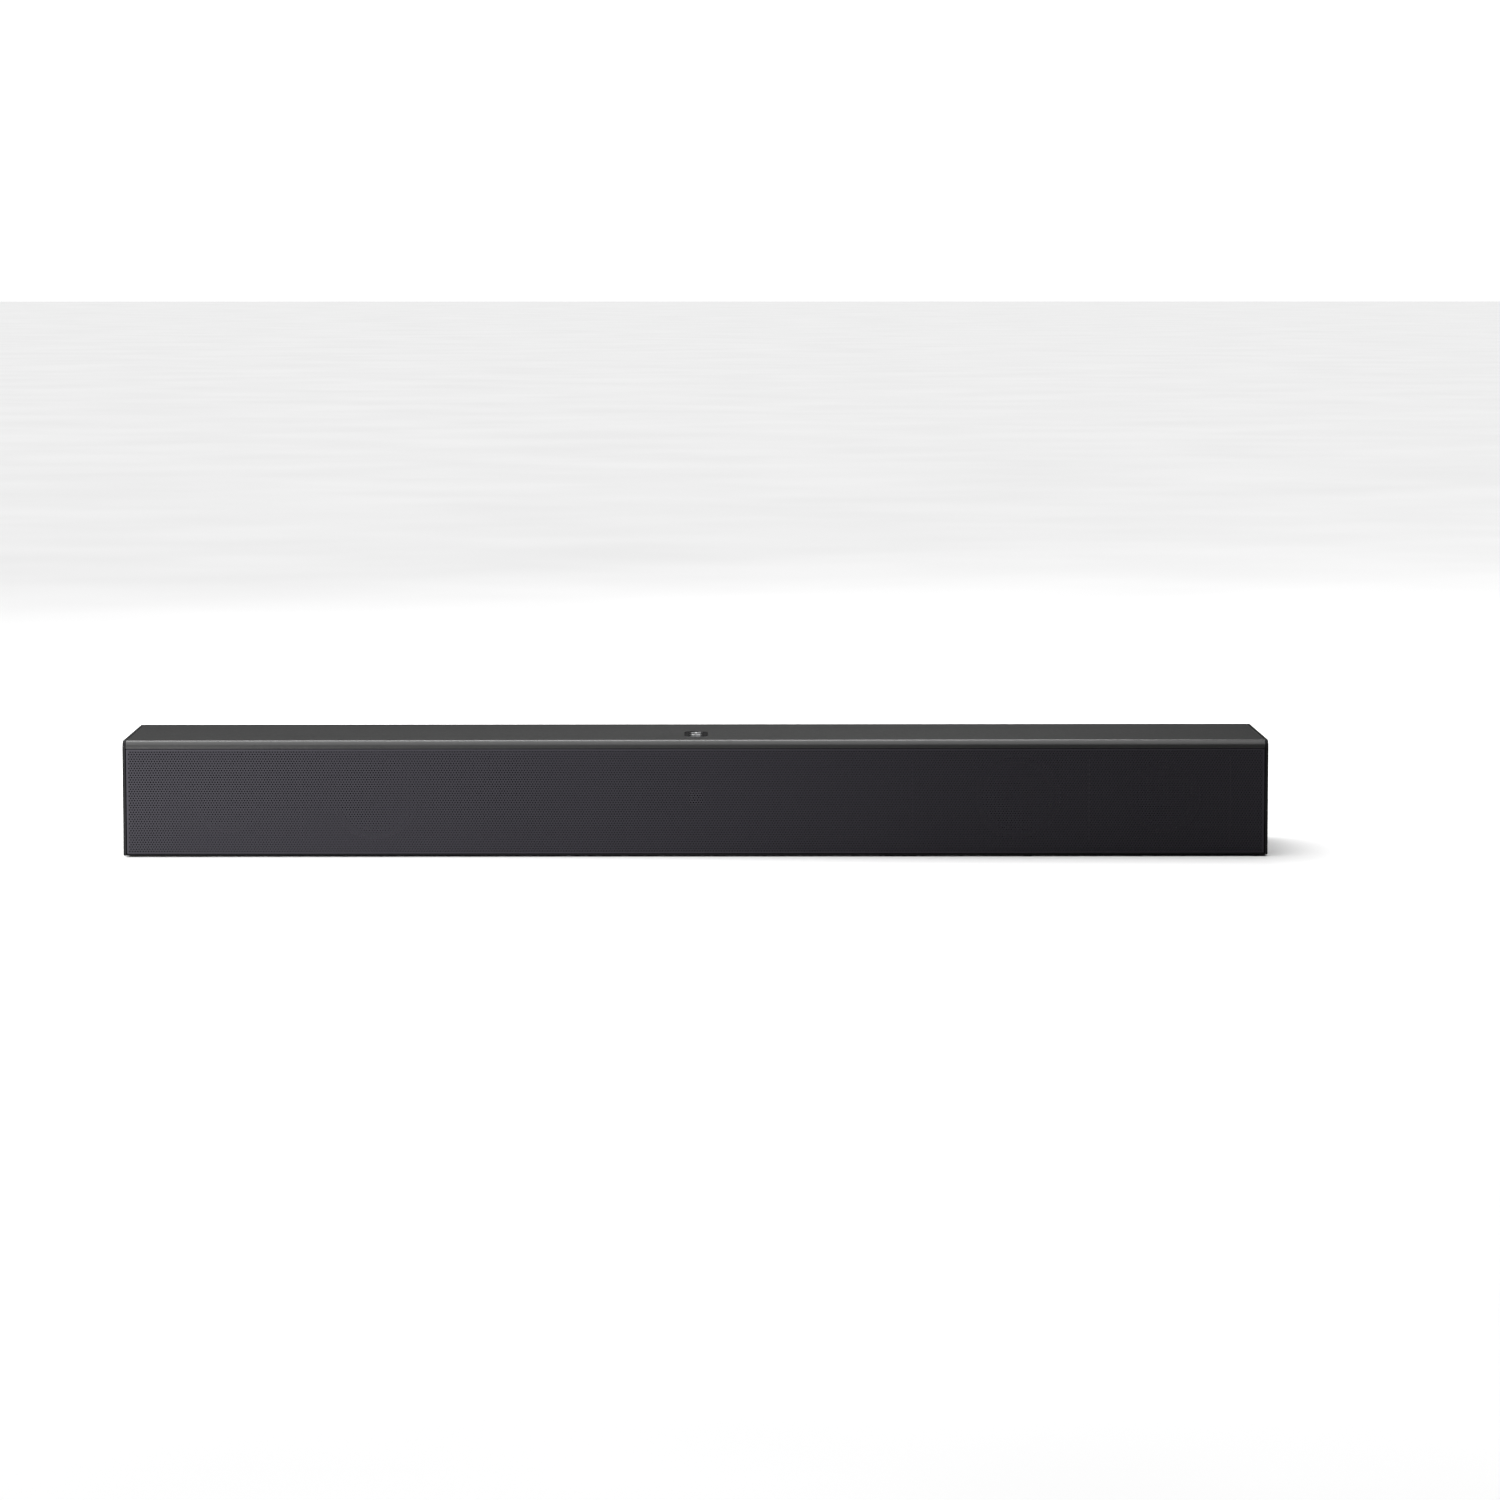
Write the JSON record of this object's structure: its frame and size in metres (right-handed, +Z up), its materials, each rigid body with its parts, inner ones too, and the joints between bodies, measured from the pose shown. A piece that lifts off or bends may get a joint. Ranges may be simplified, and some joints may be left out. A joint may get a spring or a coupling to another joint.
{
  "type": "soundbar",
  "caption": "Long dark all-in-one soundbar: perforated front grille, moulded shell, top push buttons, rear socket bay, full speaker drivers inside.",
  "frame": {"origin": "centre of the footprint, on the plane the rubber feet stand on", "axes": "+X to the listener's right along the bar, -Y to the front (the grille), +Z up"},
  "size_m": [0.64, 0.101, 0.0655],
  "materials": {
    "shell_plastic": "fine moulded grain",
    "black_plastic": "plain moulded",
    "grille_steel": "satin paint, perforated",
    "foot_rubber": "matte",
    "screw_steel": "black zinc",
    "insert_brass": "turned",
    "gloss_black": "polished",
    "button_plastic": "fine satin",
    "circuit_board": "solder mask",
    "clear_plastic": "clear moulded",
    "sink_aluminium": "extruded",
    "socket_steel": "folded sheet",
    "shutter_plastic": "satin",
    "lead_rubber": "smooth insulation",
    "basket_steel": "pressed",
    "cone_paper": "pulped paper",
    "surround_rubber": "smooth",
    "ferrite": "ground",
    "yoke_steel": "zinc plated",
    "coil_copper": "enamelled wire",
    "spider_cloth": "resin-stiffened weave"
  },
  "bodies": {
    "cabinet": {"top_cover": "shell_plastic", "bottom_case": "black_plastic", "rear_panel": "shell_plastic", "connector_panel": "black_plastic", "end_cap_left": "black_plastic", "end_cap_right": "black_plastic", "front_baffle": "black_plastic", "front_grille": "grille_steel", "rubber_feet": "foot_rubber", "case_screws": "screw_steel", "wall_mount_inserts": "insert_brass", "port_tubes": "black_plastic", "button_bezel": "gloss_black", "control_board": "circuit_board", "tact_switches": "black_plastic", "light_pipe": "clear_plastic", "ir_receiver": "gloss_black", "main_board": "circuit_board", "board_chips": "black_plastic", "heat_sink": "sink_aluminium", "board_capacitors": "sink_aluminium", "dc_jack": "black_plastic", "hdmi_socket": "socket_steel", "usb_socket": "socket_steel", "optical_socket": "black_plastic", "speaker_leads": "lead_rubber", "signal_leads": "lead_rubber", "inner_screws": "screw_steel", "woofer_left_basket": "basket_steel", "woofer_left_magnet": "ferrite", "woofer_left_yoke": "yoke_steel", "woofer_right_basket": "basket_steel", "woofer_right_magnet": "ferrite", "woofer_right_yoke": "yoke_steel", "full_range_left_basket": "basket_steel", "full_range_left_magnet": "ferrite", "full_range_left_yoke": "yoke_steel", "full_range_right_basket": "basket_steel", "full_range_right_magnet": "ferrite", "full_range_right_yoke": "yoke_steel"},
    "volume_up": {"volume_up_button": "button_plastic"},
    "multi_function": {"multi_function_button": "button_plastic"},
    "volume_down": {"volume_down_button": "button_plastic"},
    "shutter": {"optical_shutter": "shutter_plastic"},
    "woofer_left_diaphragm": {"woofer_left_cone": "cone_paper", "woofer_left_voice_coil": "coil_copper", "woofer_left_surround": "surround_rubber", "woofer_left_spider": "spider_cloth"},
    "woofer_right_diaphragm": {"woofer_right_cone": "cone_paper", "woofer_right_voice_coil": "coil_copper", "woofer_right_surround": "surround_rubber", "woofer_right_spider": "spider_cloth"},
    "full_range_left_diaphragm": {"full_range_left_cone": "cone_paper", "full_range_left_voice_coil": "coil_copper", "full_range_left_surround": "surround_rubber", "full_range_left_spider": "spider_cloth"},
    "full_range_right_diaphragm": {"full_range_right_cone": "cone_paper", "full_range_right_voice_coil": "coil_copper", "full_range_right_surround": "surround_rubber", "full_range_right_spider": "spider_cloth"}
  },
  "joints": [
    {"name": "volume_up_press", "type": "slide", "parent": "cabinet", "child": "volume_up", "axis": [0, 0, -1], "range_m": [0, 0.0004], "stiffness_N_per_m": 4000, "springref_m": -0.0001},
    {"name": "multi_function_press", "type": "slide", "parent": "cabinet", "child": "multi_function", "axis": [0, 0, -1], "range_m": [0, 0.0004], "stiffness_N_per_m": 4000, "springref_m": -0.0001},
    {"name": "volume_down_press", "type": "slide", "parent": "cabinet", "child": "volume_down", "axis": [0, 0, -1], "range_m": [0, 0.0004], "stiffness_N_per_m": 4000, "springref_m": -0.0001},
    {"name": "shutter_swing", "type": "hinge", "parent": "cabinet", "child": "shutter", "pos_m": [0.034, 0.0267, 0.0196], "axis": [-1, 0, 0], "range_deg": [0, 80], "stiffness_Nm_per_rad": 0.001, "springref_deg": -5.73},
    {"name": "woofer_left_excursion", "type": "slide", "parent": "cabinet", "child": "woofer_left_diaphragm", "axis": [0, -1, 0], "range_m": [-0.002, 0.002], "stiffness_N_per_m": 1500, "deforming": ["woofer_left_surround", "woofer_left_spider"]},
    {"name": "woofer_right_excursion", "type": "slide", "parent": "cabinet", "child": "woofer_right_diaphragm", "axis": [0, -1, 0], "range_m": [-0.002, 0.002], "stiffness_N_per_m": 1500, "deforming": ["woofer_right_surround", "woofer_right_spider"]},
    {"name": "full_range_left_excursion", "type": "slide", "parent": "cabinet", "child": "full_range_left_diaphragm", "axis": [0, -1, 0], "range_m": [-0.0015, 0.0015], "stiffness_N_per_m": 1500, "deforming": ["full_range_left_surround", "full_range_left_spider"]},
    {"name": "full_range_right_excursion", "type": "slide", "parent": "cabinet", "child": "full_range_right_diaphragm", "axis": [0, -1, 0], "range_m": [-0.0015, 0.0015], "stiffness_N_per_m": 1500, "deforming": ["full_range_right_surround", "full_range_right_spider"]}
  ]
}
